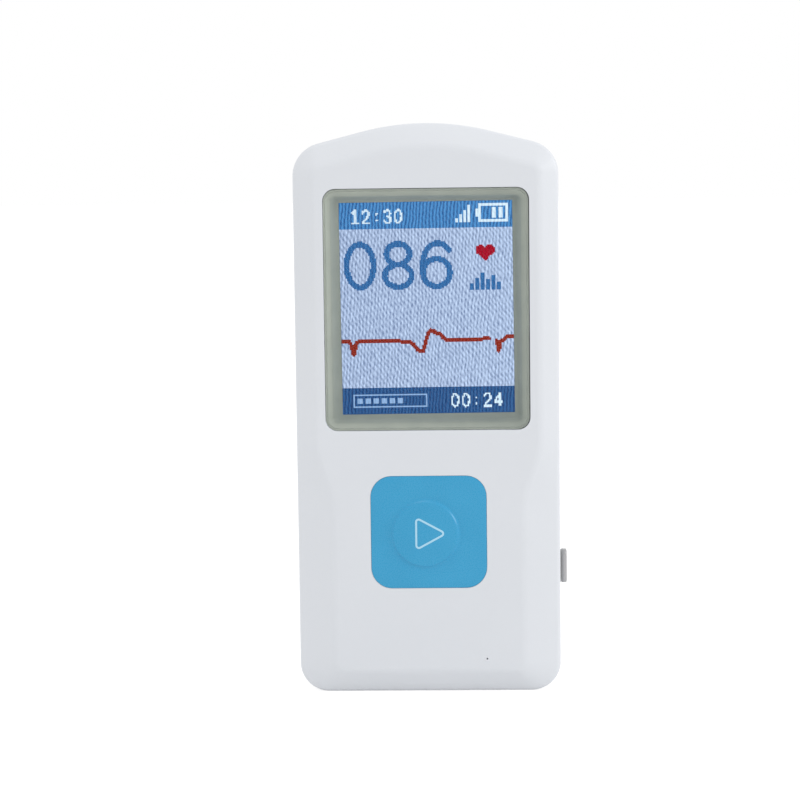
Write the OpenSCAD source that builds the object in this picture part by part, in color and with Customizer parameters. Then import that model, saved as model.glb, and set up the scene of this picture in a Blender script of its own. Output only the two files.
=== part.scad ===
// Handheld ECG home monitor: a slim two-shell case with a display under a flush window,
// a film-covered start key, a small side button, three contact electrodes and the works inside.
// Millimetres. +Z runs up the case, the display faces -Y, and the origin is the middle of the
// bottom end.

/* [Case] */
// Width of the case
case_w = 43.5; // [43.3:0.1:44.5]
// Height of the case to the top of its arched end
case_h = 94.3; // [94.1:0.1:95.6]
// Depth of the case, front to back
case_t = 15; // [14.8:0.1:16]
// Thickness of the moulded walls
wall = 1.6; // [1.5:0.05:1.7]
// Radius of the arch along the top end
arch_r = 42.4; // [40:0.5:46]
// Slope of the straight shoulders beside the arch, in degrees
shoulder_deg = 14.3; // [13:0.1:15]
// Radius of the two upper corners
top_corner_r = 5.5; // [5:0.1:6]
// Radius of the two lower corners
bottom_corner_r = 4.8; // [4.5:0.1:5.2]
// Radius of the rounding round the back
back_edge_r = 3.2; // [2.8:0.1:3.4]
// Depth of the plane where the two shells meet, from the middle of the case
seam_y = 1; // [0.9:0.05:1.1]

/* [Face] */
// How far the bevel falls away from the flat face
bevel_drop = 1.9; // [1.7:0.1:2]
// Width of the flat face beside the window
face_high_w = 37.2; // [37:0.1:37.6]
// Width of the flat face beside the start key
face_low_w = 31.4; // [31:0.1:33]
// Width of the bevel along the top and bottom ends
end_bevel = 3.7; // [3.5:0.1:3.8]
// Height where the face starts to widen
waist_low_z = 31.2; // [30:0.1:33]
// Height where the face has its full width
waist_high_z = 42.7; // [42:0.1:45]

/* [Window and display] */
// Width of the window pane
window_w = 33.5; // [33.3:0.1:33.6]
// Height of the window pane
window_h = 39.6; // [39.3:0.1:39.7]
// Height of the window's centre
window_z = 63.9; // [63.6:0.1:64.1]
// Radius of the window's corners
window_r = 2; // [1.5:0.1:2.5]
// Gap between the pane and the front cover
window_gap = 0.1; // [0.08:0.01:0.15]
// Width of the picture
picture_w = 28.03; // [27.5:0.01:28.5]
// Height of the picture
picture_h = 35.04; // [34.5:0.01:35.5]

/* [Start key] */
// Width of the blue film
film_w = 19.1; // [18.8:0.1:19.6]
// Height of the blue film
film_h = 18.7; // [18.4:0.1:19.2]
// Radius of the film's corners
film_r = 3.45; // [3:0.05:4]
// Height of the middle of the film
film_z = 27.15; // [26.9:0.05:27.6]
// Distance of the middle of the dome to the left of the film's
dome_left = 0.6; // [0:0.05:0.65]
// Height of the middle of the dome
key_z = 26.85; // [26.6:0.05:27.2]
// Diameter of the embossed dome
dome_d = 11.4; // [10.6:0.1:11.5]
// How far the dome stands out of the film
dome_rise = 0.4; // [0.2:0.05:0.5]
// Thickness of the film
film_t = 0.25; // [0.2:0.01:0.3]
// How far the key is pressed
key_travel = 0.3; // [0.2:0.01:0.35]

/* [Side button] */
// Length of the side button, up the case
button_l = 5.55; // [5:0.05:6]
// Width of the side button, across the case's side
button_w = 2.8; // [2.6:0.1:2.8]
// How far the side button stands out of the case
button_out = 1.15; // [1:0.05:1.4]
// Height of the middle of the side button
button_z = 20.45; // [20.3:0.05:20.6]
// How far the side button is pressed
button_travel = 0.4; // [0.3:0.05:0.45]

/* [Sound hole and socket] */
// Distance of the sound hole to the right of the middle
sound_x = 9.48; // [9:0.01:10]
// Height of the sound hole
sound_z = 5.8; // [5.7:0.05:6.1]
// Diameter of the sound hole
sound_d = 0.3; // [0.3:0.05:0.6]
// Distance of the charging socket to the left of the middle
socket_x = 8; // [7.5:0.1:8.5]

/* [Electrodes] */
// Width of each rear electrode
plate_w = 24; // [23:0.1:24]
// Height of each rear electrode
plate_h = 16; // [14:0.1:16]
// Radius of the rear electrodes' corners
plate_r = 3; // [2:0.1:4]
// Height of the middle of the lower rear electrode
lower_plate_z = 17; // [17:0.1:18]
// Height of the middle of the upper rear electrode
upper_plate_z = 78; // [77:0.1:78]
// Length of the electrode on the left side
strip_l = 24; // [20:0.5:26]
// Width of the electrode on the left side
strip_w = 2.6; // [2.4:0.1:2.6]
// Height of the middle of the electrode on the left side
strip_z = 58; // [56:0.5:60]

/* [Hidden] */
$fn = 48;

// A cut runs this far past the face it opens
past = 1;

// Colours of the pieces
white = [0.87, 0.88, 0.90];
window_grey = [0.60, 0.63, 0.60];
sky_blue = [0.28, 0.63, 0.81];
metal = [0.68, 0.68, 0.68];
steel = [0.75, 0.75, 0.76];
board_green = [0.10, 0.40, 0.22];
chip_black = [0.10, 0.10, 0.11];
foam_black = [0.14, 0.14, 0.15];
brass = [0.80, 0.66, 0.36];

// Depths of the layers, from the face inwards
face_y = -case_t / 2;
back_y = case_t / 2;
inner_face_y = face_y + wall;
inner_back_y = back_y - wall;
lens_y = face_y + 0.1;
lens_t = 0.95;
adhesive_y = lens_y + lens_t;
adhesive_t = 0.1;
mask_y = adhesive_y + adhesive_t;
mask_flange_y = inner_face_y + 0.05;
glass_y = mask_flange_y + 0.55;
glass_t = 1.4;
tray_floor_y = glass_y + glass_t;
tray_back_y = tray_floor_y + 1.25;
board_y = tray_back_y + 0.35;
board_t = 1;
board_back_y = board_y + board_t;
battery_y = board_back_y + 1.8;
battery_back_y = inner_back_y - 0.7;

// The display stack: the picture sits high in its glass, which has a ledge for the flex below
picture_z = window_z + 0.2;
picture_gap = 0.2;
mask_rim = 1.15;
glass_w = 33;
glass_low_z = 40.4;
glass_high_z = 84.2;
tray_rim = 0.75;
flex_w = 14;
flex_t = 0.12;
flex_bend_r = 0.92;
flex_front_y = glass_y + 0.62;
flex_back_y = flex_front_y + 2 * flex_bend_r;
connector_top_z = 39.2 - 2 * flex_bend_r;

// The start key, from the film to the switch
key_at = [-dome_left, key_z];
dome_rim = 0.6;
plunger_r = 3.5;
plunger_gap = 0.1;
plunger_head_r = 4.8;
plunger_head_t = 0.3;
film_back_y = face_y + film_t;
plunger_seat_y = film_back_y + plunger_head_t + key_travel + 0.35;
collar_r = 5;
collar_back_y = inner_face_y + 1.2;
stem_top_y = board_y - 1.7;
switch_top_y = board_y - 1.2;
stem_r = 1.5;
stem_in = 0.45;

// The side button, from the cap to the switch
button_y = board_y + board_t / 2;
button_gap = 0.1;
button_flange_x = case_w / 2 - wall - 0.15;
button_flange_t = 0.6;
button_flange_l = 7.4;
button_flange_w = 4.4;
side_switch_x = button_flange_x - button_flange_t - 0.8;
side_switch_deep = 3;
side_switch_l = 4.6;
side_switch_w = 3;
side_stem_in = 0.7;

// The joint between the two shells: a tongue on the rear one enters a rebate in the front one
seam_groove = 0.2;
tongue_out = 0.9;
tongue_l = 1;
tongue_gap = 0.05;

// Screws and the posts they enter
case_screw_upper = [15.2, case_h - 7.1];
case_screw_lower = [16.8, 6];
board_screw_spots = [[-13.2, 35.5], [13.2, 35.5], [-12.5, 12.5]];
screw_r = 0.98;
pilot_r = 1;
clear_r = 1.15;
post_r = 1.9;
screw_head_r = 1.75;
screw_head_t = 1.3;
sink_r = 2.05;
sink_floor_y = 4;
rear_post_r = 3;

// The charging socket's shell and the slot in the case's bottom end
socket_w = 7.5;
socket_t = 2.6;
socket_y = board_back_y + socket_t / 2;
socket_depth = 5.2;
socket_mouth_z = 0.5;
socket_slot_w = 8.4;
socket_slot_t = 3.3;

// Electrodes: plates let into the case, their studs and the pins that touch them
plate_t = 0.8;
plate_gap = 0.12;
stud_r = 1.2;
stud_spread = 8;
stud_end_y = inner_back_y - 0.8;
nut_r = 2.4;
strip_t = 0.7;
strip_y = 2.8;
strip_r = 1.2;
strip_gap = 0.1;
strip_stud_r = 0.8;
strip_stud_x = 18.9;

// ---------------------------------------------------------------- outlines

function smooth(t) = let (c = min(max(t, 0), 1)) c * c * (3 - 2 * c);

// Half width at height z: low below the waist and high above it
function half_width(z, low, high) =
    low + (high - low) * smooth((z - waist_low_z) / (waist_high_z - waist_low_z));

// Right half of an outline in x and z, from the bottom middle to the top middle: a flat foot,
// a corner, the side with its waist, a corner, a straight shoulder and half of the arch
function right_half(low, high, foot_z, foot_r, head_r, top_r) =
    let (
        arch_z = case_h - arch_r,
        joint = [top_r * sin(shoulder_deg), arch_z + top_r * cos(shoulder_deg)],
        head_x = high - head_r,
        head_z = joint.y - tan(shoulder_deg) * (head_x - joint.x) - head_r / cos(shoulder_deg),
        side_z = foot_z + foot_r,
        bend_z = waist_low_z - 1,
        open_z = waist_high_z + 1,
        turn = 90 - shoulder_deg,
        tip = [head_x + head_r * cos(turn), head_z + head_r * sin(turn)]
    )
    concat(
        [for (k = [0 : 3]) [(low - foot_r) * k / 4, foot_z]],
        [for (k = [0 : 5]) [low - foot_r + foot_r * sin(15 * k), side_z - foot_r * cos(15 * k)]],
        [for (k = [0 : 3]) [low, side_z + (bend_z - side_z) * k / 4]],
        [for (k = [0 : 7]) let (z = bend_z + (open_z - bend_z) * k / 8)
            [half_width(z, low, high), z]],
        [for (k = [0 : 3]) [high, open_z + (head_z - open_z) * k / 4]],
        [for (k = [0 : 5]) [head_x + head_r * cos(turn * k / 6), head_z + head_r * sin(turn * k / 6)]],
        [for (k = [0 : 1]) tip + (joint - tip) * k / 2],
        [for (k = [0 : 6]) let (a = turn + shoulder_deg * k / 6)
            [top_r * cos(a), arch_z + top_r * sin(a)]]
    );

// The whole outline, with the right half mirrored back down the left side
function closed(half) =
    concat(half, [for (k = [len(half) - 2 : -1 : 1]) [-half[k].x, half[k].y]]);

// The case's outline moved inwards by a distance
function case_outline(inset) =
    closed(right_half(
        case_w / 2 - inset, case_w / 2 - inset, inset,
        bottom_corner_r - inset, top_corner_r - inset, arch_r - inset
    ));

// The outline of the flat face moved inwards by a distance
function face_outline(inset) =
    closed(right_half(
        face_low_w / 2 - inset, face_high_w / 2 - inset, end_bevel + inset,
        1.5, 1.3, arch_r - end_bevel - inset
    ));

// ---------------------------------------------------------------- rings and shells

case_line = case_outline(0);
face_line = face_outline(0);
ease = 0.7;      // half width of the easing between the flat face and the bevel
edge_r = 1;      // rounding between the bevel and the side wall

// A flat ring at one depth
function flat_ring(line, y) = [for (p = line) [p.x, y, p.y]];

function bevel_run(i) = norm(case_line[i] - face_line[i]);
function bevel_dir(i) = (case_line[i] - face_line[i]) / bevel_run(i);
function bevel_point(i, s, y) = let (p = face_line[i] + bevel_dir(i) * s) [p.x, y, p.y];

// A ring where the flat face eases into the bevel; s runs from -ease to ease
function ease_ring(s) =
    [for (i = [0 : len(case_line) - 1])
        bevel_point(i, s, face_y + bevel_drop / bevel_run(i) * pow(s + ease, 2) / (4 * ease))];

// A ring where the bevel rounds into the side wall; t is 1 on the bevel and 0 on the wall
function edge_ring(t) =
    [for (i = [0 : len(case_line) - 1])
        let (
            slope = atan(bevel_drop / bevel_run(i)),
            run = bevel_run(i) - edge_r,
            centre_y = face_y + tan(slope) * run + edge_r / cos(slope),
            a = (90 - slope) * t
        )
        bevel_point(i, run + edge_r * cos(a), centre_y - edge_r * sin(a))];

// A ring on the rounding round the back, at an angle from the side wall
function back_ring(inset, r, a) =
    flat_ring(case_outline(inset + r * (1 - cos(a))), back_y - inset - r + r * sin(a));

// A solid skinned over rings of equal length and closed by a fan at each end
module skin(rings) {
    n = len(rings[0]);
    last = len(rings) - 1;
    front_hub = [0, rings[0][0].y, case_h / 2];
    back_hub = [0, rings[last][0].y, case_h / 2];
    polyhedron(
        points = concat([for (ring = rings) each ring], [front_hub, back_hub]),
        faces = concat(
            [for (k = [0 : last - 1], i = [0 : n - 1]) let (j = (i + 1) % n)
                [k * n + i, k * n + j, (k + 1) * n + i]],
            [for (k = [0 : last - 1], i = [0 : n - 1]) let (j = (i + 1) % n)
                [k * n + j, (k + 1) * n + j, (k + 1) * n + i]],
            [for (i = [0 : n - 1]) [n * (last + 1), (i + 1) % n, i]],
            [for (i = [0 : n - 1]) [n * (last + 1) + 1, last * n + i, last * n + (i + 1) % n]]
        )
    );
}

module front_shell() {
    skin([
        ease_ring(-ease), ease_ring(-ease / 3), ease_ring(ease / 3), ease_ring(ease),
        edge_ring(1), edge_ring(0.75), edge_ring(0.5), edge_ring(0.25), edge_ring(0),
        flat_ring(case_line, seam_y - 0.25),
        flat_ring(case_outline(seam_groove), seam_y),
        flat_ring(case_outline(tongue_out - tongue_gap), seam_y),
        flat_ring(case_outline(tongue_out - tongue_gap), seam_y - tongue_l - tongue_gap),
        flat_ring(case_outline(wall), seam_y - tongue_l - tongue_gap),
        flat_ring(case_outline(wall), inner_face_y + 1.3),
        flat_ring(face_outline(0.4), inner_face_y)
    ]);
}

module rear_shell() {
    inner_r = back_edge_r - wall;
    skin([
        back_ring(wall, inner_r, 90), back_ring(wall, inner_r, 60), back_ring(wall, inner_r, 30),
        back_ring(wall, inner_r, 0),
        flat_ring(case_outline(wall), seam_y - tongue_l),
        flat_ring(case_outline(tongue_out), seam_y - tongue_l),
        flat_ring(case_outline(tongue_out), seam_y),
        flat_ring(case_outline(seam_groove), seam_y),
        flat_ring(case_line, seam_y + 0.25),
        back_ring(0, back_edge_r, 0), back_ring(0, back_edge_r, 18),
        back_ring(0, back_edge_r, 36), back_ring(0, back_edge_r, 54),
        back_ring(0, back_edge_r, 72), back_ring(0, back_edge_r, 90)
    ]);
}

// ---------------------------------------------------------------- helpers

// Extrudes a shape drawn in x and z between two depths
module along_y(y0, y1) {
    translate([0, y1, 0]) rotate([90, 0, 0]) linear_extrude(y1 - y0) children();
}

// Extrudes a shape drawn in y and z between two distances across
module along_x(x0, x1) {
    translate([x0, 0, 0]) rotate([90, 0, 90]) linear_extrude(x1 - x0) children();
}

// A rectangle with round corners about the middle
module round_rect(w, h, r) {
    square([w - 2 * r, h], center = true);
    square([w, h - 2 * r], center = true);
    for (x = [-1, 1], y = [-1, 1])
        translate([x * (w / 2 - r), y * (h / 2 - r)]) circle(r);
}

// A plate with round corners that faces the front
module plate(at, size, r, y0, y1) {
    along_y(y0, y1) translate(at) round_rect(size.x, size.y, r);
}

// A plain block that faces the front
module block(at, size, y0, y1) {
    along_y(y0, y1) translate(at) square(size, center = true);
}

// A round bar from front to back
module rod(at, r, y0, y1) {
    along_y(y0, y1) translate(at) circle(r);
}

// A four-sided tapered plug between two upright rectangles centred over x = 0
module taper(z0, size0, y0, z1, size1, y1) {
    corners = [[-1, -1], [1, -1], [1, 1], [-1, 1]];
    polyhedron(
        points = concat(
            [for (c = corners) [c.x * size0.x / 2, y0, z0 + c.y * size0.y / 2]],
            [for (c = corners) [c.x * size1.x / 2, y1, z1 + c.y * size1.y / 2]]
        ),
        faces = concat(
            [[3, 2, 1, 0], [4, 5, 6, 7]],
            [for (i = [0 : 3]) let (j = (i + 1) % 4) [i, j, j + 4, i + 4]]
        )
    );
}

// The places of the four case screws
function case_screw_spots() =
    [for (spot = [case_screw_upper, case_screw_lower], side = [-1, 1]) [side * spot.x, spot.y]];

// The slot for the charging plug, in both shells
module socket_slot() {
    translate([-socket_x, socket_y, -past])
        linear_extrude(wall + 2 * past) round_rect(socket_slot_w, socket_slot_t, 1.3);
}

// A screw with a pan head and a cross recess: its shank points to the front
module pan_screw(at, seat_y, tip_y) {
    difference() {
        union() {
            rod(at, screw_head_r, seat_y, seat_y + screw_head_t);
            rod(at, screw_r, tip_y, seat_y);
        }
        block(at, [1.8, 0.4], seat_y + screw_head_t - 0.6, seat_y + screw_head_t + past);
        block(at, [0.4, 1.8], seat_y + screw_head_t - 0.6, seat_y + screw_head_t + past);
    }
}

// ---------------------------------------------------------------- case

module front_cover() {
    color(white) difference() {
        union() {
            front_shell();
            for (at = case_screw_spots()) rod(at, post_r, inner_face_y - 0.5, seam_y);
            for (at = board_screw_spots) rod(at, post_r, inner_face_y - 0.5, board_y);
            rod(key_at, collar_r, inner_face_y - 0.5, collar_back_y);
        }
        plate([0, window_z], [window_w, window_h] + 2 * window_gap * [1, 1],
            window_r + window_gap, face_y - past, inner_face_y + past);
        plate([0, film_z], [film_w + 0.2, film_h + 0.2], film_r + 0.1, face_y - past, film_back_y);
        rod(key_at, dome_d / 2 + 0.3, face_y - past, plunger_seat_y);
        rod(key_at, plunger_r + plunger_gap, face_y - past, collar_back_y + past);
        rod([sound_x, sound_z], sound_d / 2, face_y - past, inner_face_y + past);
        along_x(case_w / 2 - wall - past, case_w / 2 + past) translate([button_y, button_z])
            round_rect(button_w + 2 * button_gap, button_l + 2 * button_gap, 1);
        socket_slot();
        for (at = case_screw_spots()) rod(at, pilot_r, inner_face_y + 0.4, seam_y + past);
        for (at = board_screw_spots) rod(at, pilot_r, inner_face_y + 0.4, board_y + past);
    }
}

module rear_cover() {
    color(white) difference() {
        union() {
            rear_shell();
            for (at = case_screw_spots()) rod(at, rear_post_r, seam_y, inner_back_y + 0.2);
        }
        for (at = case_screw_spots()) {
            rod(at, clear_r, seam_y - past, sink_floor_y + past);
            rod(at, sink_r, sink_floor_y, back_y + past);
        }
        for (z = [lower_plate_z, upper_plate_z]) {
            plate([0, z], [plate_w, plate_h] + 2 * plate_gap * [1, 1], plate_r + plate_gap,
                back_y - plate_t, back_y + past);
            for (x = [-stud_spread, stud_spread])
                rod([x, z], stud_r + 0.1, inner_back_y - past, back_y);
        }
        along_x(-case_w / 2 - past, -case_w / 2 + strip_t) translate([strip_y, strip_z])
            round_rect(strip_w + 2 * strip_gap, strip_l + 2 * strip_gap, strip_r + strip_gap);
        along_x(-case_w / 2 - past, -case_w / 2 + wall + past) translate([strip_y, strip_z])
            circle(strip_stud_r + 0.05);
        socket_slot();
    }
}

// ---------------------------------------------------------------- window and display

module window_lens() {
    color([0.85, 0.9, 0.9, 0.35])
        plate([0, window_z], [window_w, window_h], window_r, lens_y, adhesive_y);
}

module lens_adhesive() {
    color(window_grey) difference() {
        plate([0, window_z], [window_w - 0.3, window_h - 0.3], window_r, adhesive_y, mask_y);
        block([0, window_z], [window_w - 2.1, window_h - 2.1], adhesive_y - past, mask_y + past);
    }
}

module display_mask() {
    color(window_grey) difference() {
        union() {
            plate([0, window_z], [window_w, window_h], window_r, mask_y, mask_flange_y);
            plate([0, window_z], [window_w + 2.3, window_h + 2], window_r, mask_flange_y, glass_y);
        }
        taper(
            window_z, [window_w, window_h] - 2 * mask_rim * [1, 1], mask_y - 0.01,
            picture_z, [picture_w, picture_h] + 2 * picture_gap * [1, 1], glass_y + 0.01
        );
    }
}

module display_glass() {
    color([0.66, 0.73, 0.86]) along_y(glass_y, tray_floor_y)
        translate([-glass_w / 2, glass_low_z]) square([glass_w, glass_high_z - glass_low_z]);
}

module display_frame() {
    low = glass_low_z - tray_rim;
    high = glass_high_z + tray_rim;
    half = glass_w / 2 + tray_rim;
    color("white") difference() {
        along_y(glass_y + 0.3, tray_back_y)
            translate([-half, low]) square([2 * half, high - low]);
        along_y(glass_y - past, tray_floor_y)
            translate([-glass_w / 2, glass_low_z]) square([glass_w, glass_high_z - glass_low_z]);
        along_y(glass_y - past, tray_floor_y)
            translate([-flex_w / 2 - 0.5, low - past]) square([flex_w + 1, tray_rim + 2 * past]);
    }
}

module display_pad() {
    color(foam_black) block([0, window_z], [28, 34], tray_back_y, board_y);
}

// The flex leaves the glass edge, bends back towards the board and enters its connector
module display_flex() {
    color(brass) along_x(-flex_w / 2, flex_w / 2) {
        translate([flex_front_y - flex_t / 2, 39.2]) square([flex_t, glass_low_z - 39.2]);
        intersection() {
            translate([flex_front_y + flex_bend_r, 39.2]) flex_bend();
            translate([flex_front_y - 1, 39.2 - 2]) square([1 + flex_bend_r, 2]);
        }
        intersection() {
            translate([flex_back_y - flex_bend_r, connector_top_z]) flex_bend();
            translate([flex_back_y - flex_bend_r, connector_top_z]) square(2);
        }
    }
}

module flex_bend() {
    difference() {
        circle(flex_bend_r + flex_t / 2);
        circle(flex_bend_r - flex_t / 2);
    }
}

module flex_connector() {
    color(chip_black) block([0, connector_top_z - 1], [flex_w + 2, 2], flex_back_y - 0.6, board_y);
}

// ---------------------------------------------------------------- start key

module key_film() {
    color(sky_blue) difference() {
        plate([0, film_z], [film_w, film_h], film_r, face_y, film_back_y);
        rod(key_at, dome_d / 2 + 0.05, face_y - past, film_back_y + past);
    }
}

// The embossed middle of the film: it rises near its rim and is nearly flat on top
module key_dome() {
    r = dome_d / 2;
    color(sky_blue) translate([key_at.x, film_back_y, key_at.y]) rotate([90, 0, 0])
        rotate_extrude()
            polygon(concat(
                [[0, 0], [r, 0]],
                [for (k = [0 : 6])
                    [r - dome_rim * k / 6, film_t + dome_rise * 0.94 * smooth(k / 6)]],
                [[0, film_t + dome_rise]]
            ));
}

module key_plunger() {
    color("white") {
        rod(key_at, plunger_head_r, film_back_y, film_back_y + plunger_head_t);
        rod(key_at, plunger_r, film_back_y + plunger_head_t, stem_top_y);
    }
}

module start_switch() {
    color(metal) difference() {
        block(key_at, [6, 6], switch_top_y, board_y);
        rod(key_at, stem_r + 0.1, switch_top_y - past,
            switch_top_y + stem_in + key_travel + 0.1);
    }
}

module start_switch_stem() {
    color(chip_black) rod(key_at, stem_r, stem_top_y, switch_top_y + stem_in);
}

// ---------------------------------------------------------------- side button

module side_button() {
    out_x = case_w / 2 + button_out;
    in_x = button_flange_x - button_flange_t;
    color(metal) {
        intersection() {
            along_x(in_x, out_x) translate([button_y, button_z])
                round_rect(button_w, button_l, 0.9);
            along_y(button_y - button_w, button_y + button_w)
                translate([out_x - 3, button_z]) round_rect(6, button_l, 0.7);
        }
        along_x(in_x, button_flange_x) translate([button_y, button_z])
            round_rect(button_flange_w, button_flange_l, 0.6);
    }
}

module side_switch() {
    color(metal) {
        difference() {
            along_x(side_switch_x - side_switch_deep, side_switch_x)
                translate([button_y, button_z])
                    square([side_switch_w, side_switch_l], center = true);
            along_x(side_switch_x - side_stem_in - button_travel - 0.15, side_switch_x + past)
                translate([button_y, button_z])
                square([2, 2.8], center = true);
        }
        block([side_switch_x - 2, button_z], [1, 7], board_back_y, board_back_y + 0.2);
    }
}

module side_switch_stem() {
    color(chip_black) along_x(side_switch_x - side_stem_in, button_flange_x - button_flange_t)
        translate([button_y, button_z]) square([1.8, 2.6], center = true);
}

// ---------------------------------------------------------------- board

module main_board() {
    switch_x = side_switch_x - side_switch_deep - 0.1;
    color(board_green) difference() {
        along_y(board_y, board_back_y) polygon([
            [-14.2, 1.9], [14.2, 1.9], [14.2, 9], [19.3, 9], [19.3, 16.4], [side_switch_x, 16.4],
            [side_switch_x, button_z - 2.4], [switch_x, button_z - 2.4],
            [switch_x, button_z + 2.4], [side_switch_x, button_z + 2.4], [side_switch_x, 25.3],
            [19.3, 25.3], [19.3, 85], [-19.3, 85], [-19.3, 9], [-14.2, 9]
        ]);
        for (at = board_screw_spots) rod(at, clear_r, board_y - past, board_back_y + past);
    }
}

module processor_chip() {
    color(chip_black) block([-4, 52], [7, 7], board_back_y, board_back_y + 1.2);
}

module amplifier_chip() {
    color(chip_black) block([-8, 70], [5, 5], board_back_y, board_back_y + 0.9);
}

module memory_chip() {
    color(chip_black) block([8, 45], [5, 4], board_back_y, board_back_y + 0.9);
}

module radio_module() {
    color(steel) block([0, 80.5], [11, 8], board_back_y, board_back_y + 1.7);
}

module clock_crystal() {
    color(steel) plate([5, 57], [3.2, 2.5], 0.4, board_back_y, board_back_y + 0.8);
}

// Rows of resistors and capacitors on the back of the board
module small_components() {
    color([0.55, 0.47, 0.38]) {
        for (k = [0 : 5]) block([-12 + 2 * k, 46], [1, 0.5], board_back_y, board_back_y + 0.4);
        for (k = [0 : 5]) block([-1 + 2 * k, 64], [0.5, 1], board_back_y, board_back_y + 0.4);
        for (k = [0 : 3]) block([-13, 64 + 2 * k], [1.6, 0.8], board_back_y, board_back_y + 0.7);
        for (k = [0 : 3]) block([4 + 2.4 * k, 30], [1.6, 0.8], board_back_y, board_back_y + 0.7);
    }
}

module buzzer() {
    at = [9.4, 8.2];
    color(chip_black) difference() {
        plate(at, [8.5, 8.5], 1, glass_y, board_y);
        rod([sound_x, sound_z], 0.6, glass_y - past, glass_y + 1);
    }
}

module buzzer_gasket() {
    color(foam_black) difference() {
        rod([sound_x, sound_z], 1.5, inner_face_y, glass_y);
        rod([sound_x, sound_z], 0.7, inner_face_y - past, glass_y + past);
    }
}

module charging_socket() {
    color(steel) translate([-socket_x, socket_y, socket_mouth_z]) difference() {
        linear_extrude(socket_depth) round_rect(socket_w, socket_t, 0.6);
        translate([0, 0, -past])
            linear_extrude(socket_depth - 0.5 + past)
                round_rect(socket_w - 0.6, socket_t - 0.6, 0.3);
    }
}

module socket_tongue() {
    color(chip_black) translate([-socket_x, socket_y - 0.3, socket_mouth_z + 1])
        linear_extrude(socket_depth - 1.5) square([4.2, 0.6], center = true);
}

// ---------------------------------------------------------------- battery

module battery_cell() {
    color(steel) plate([0, 51], [32, 30], 1.5, battery_y, battery_back_y);
}

module battery_board() {
    color(board_green) block([0, 34.9], [20, 2.2], battery_y + 1, battery_y + 4);
}

module battery_pad() {
    color(foam_black) block([0, 51], [26, 24], battery_back_y, inner_back_y);
}

// Two leads that run down from the protection board and bend forwards into the connector
module battery_leads() {
    lead_y = battery_y + 2.6;
    bend_z = 31.1;
    bend_r = 1.3;
    for (x = [-4, -2.4]) color(x < -3 ? "red" : "black") {
        translate([x, lead_y, bend_z]) cylinder(r = 0.5, h = 33.8 - bend_z);
        translate([x, lead_y - bend_r, bend_z]) rotate([0, 90, 0])
            rotate_extrude(angle = 90) translate([bend_r, 0]) circle(0.5);
        rod([x, bend_z - bend_r], 0.5, lead_y - bend_r - 0.2, lead_y - bend_r);
    }
}

module battery_connector() {
    color("ivory") block([-3.2, 29.8], [6, 4], board_back_y, battery_y + 1.1);
}

// ---------------------------------------------------------------- electrodes

// A rear plate with two studs that pass through the case's back
module rear_electrode(z) {
    color(steel) {
        plate([0, z], [plate_w, plate_h], plate_r, back_y - plate_t, back_y);
        for (x = [-stud_spread, stud_spread]) rod([x, z], stud_r, stud_end_y, back_y - plate_t);
    }
}

module upper_electrode() {
    rear_electrode(upper_plate_z);
}

module lower_electrode() {
    rear_electrode(lower_plate_z);
}

module side_electrode() {
    color(steel) {
        along_x(-case_w / 2, -case_w / 2 + strip_t) translate([strip_y, strip_z])
            round_rect(strip_w, strip_l, strip_r);
        along_x(-case_w / 2 + strip_t, -strip_stud_x) translate([strip_y, strip_z])
            circle(strip_stud_r);
    }
}

// Push nuts that hold the rear electrodes' studs
module electrode_nuts() {
    color(steel) for (x = [-stud_spread, stud_spread], z = [lower_plate_z, upper_plate_z])
        difference() {
            rod([x, z], nut_r, inner_back_y - 0.5, inner_back_y);
            rod([x, z], stud_r + 0.03, inner_back_y - past, inner_back_y + past);
        }
}

module contact_barrels() {
    color(brass) for (z = [lower_plate_z, upper_plate_z])
        difference() {
            rod([stud_spread, z], 1.1, board_back_y, board_back_y + 4.3);
            rod([stud_spread, z], 0.6, board_back_y + 1, board_back_y + 4.3 + past);
        }
}

module contact_pins() {
    color(brass) for (z = [lower_plate_z, upper_plate_z])
        rod([stud_spread, z], 0.57, board_back_y + 1.5, stud_end_y);
}

// A bent strip that joins the side electrode's stud to the board
module side_contact() {
    color(brass) {
        block([-17.2, strip_z], [3.4, 3], board_back_y, board_back_y + 0.25);
        block([-strip_stud_x + 0.125, strip_z], [0.25, 3], board_back_y, strip_y + 1.2);
    }
}

// ---------------------------------------------------------------- screws

module case_screws() {
    color(steel) for (at = case_screw_spots()) pan_screw(at, sink_floor_y, -4);
}

module board_screws() {
    color(steel) for (at = board_screw_spots) pan_screw(at, board_back_y, -5);
}

front_cover();
rear_cover();
window_lens();
lens_adhesive();
display_mask();
display_glass();
display_frame();
display_pad();
display_flex();
flex_connector();
key_film();
key_dome();
key_plunger();
start_switch();
start_switch_stem();
side_button();
side_switch();
side_switch_stem();
main_board();
processor_chip();
amplifier_chip();
memory_chip();
radio_module();
clock_crystal();
small_components();
buzzer();
buzzer_gasket();
charging_socket();
socket_tongue();
battery_cell();
battery_board();
battery_pad();
battery_leads();
battery_connector();
upper_electrode();
lower_electrode();
side_electrode();
electrode_nuts();
contact_barrels();
contact_pins();
side_contact();
case_screws();
board_screws();
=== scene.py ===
"""Looks of the handheld ECG home monitor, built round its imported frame.

The sizes are in millimetres, in the frame's own axes: +Z runs up the case, and the display faces -Y.
solid() turns them into metres.
"""

import math

import bmesh
import bpy
from mathutils import Matrix, Vector


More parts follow.
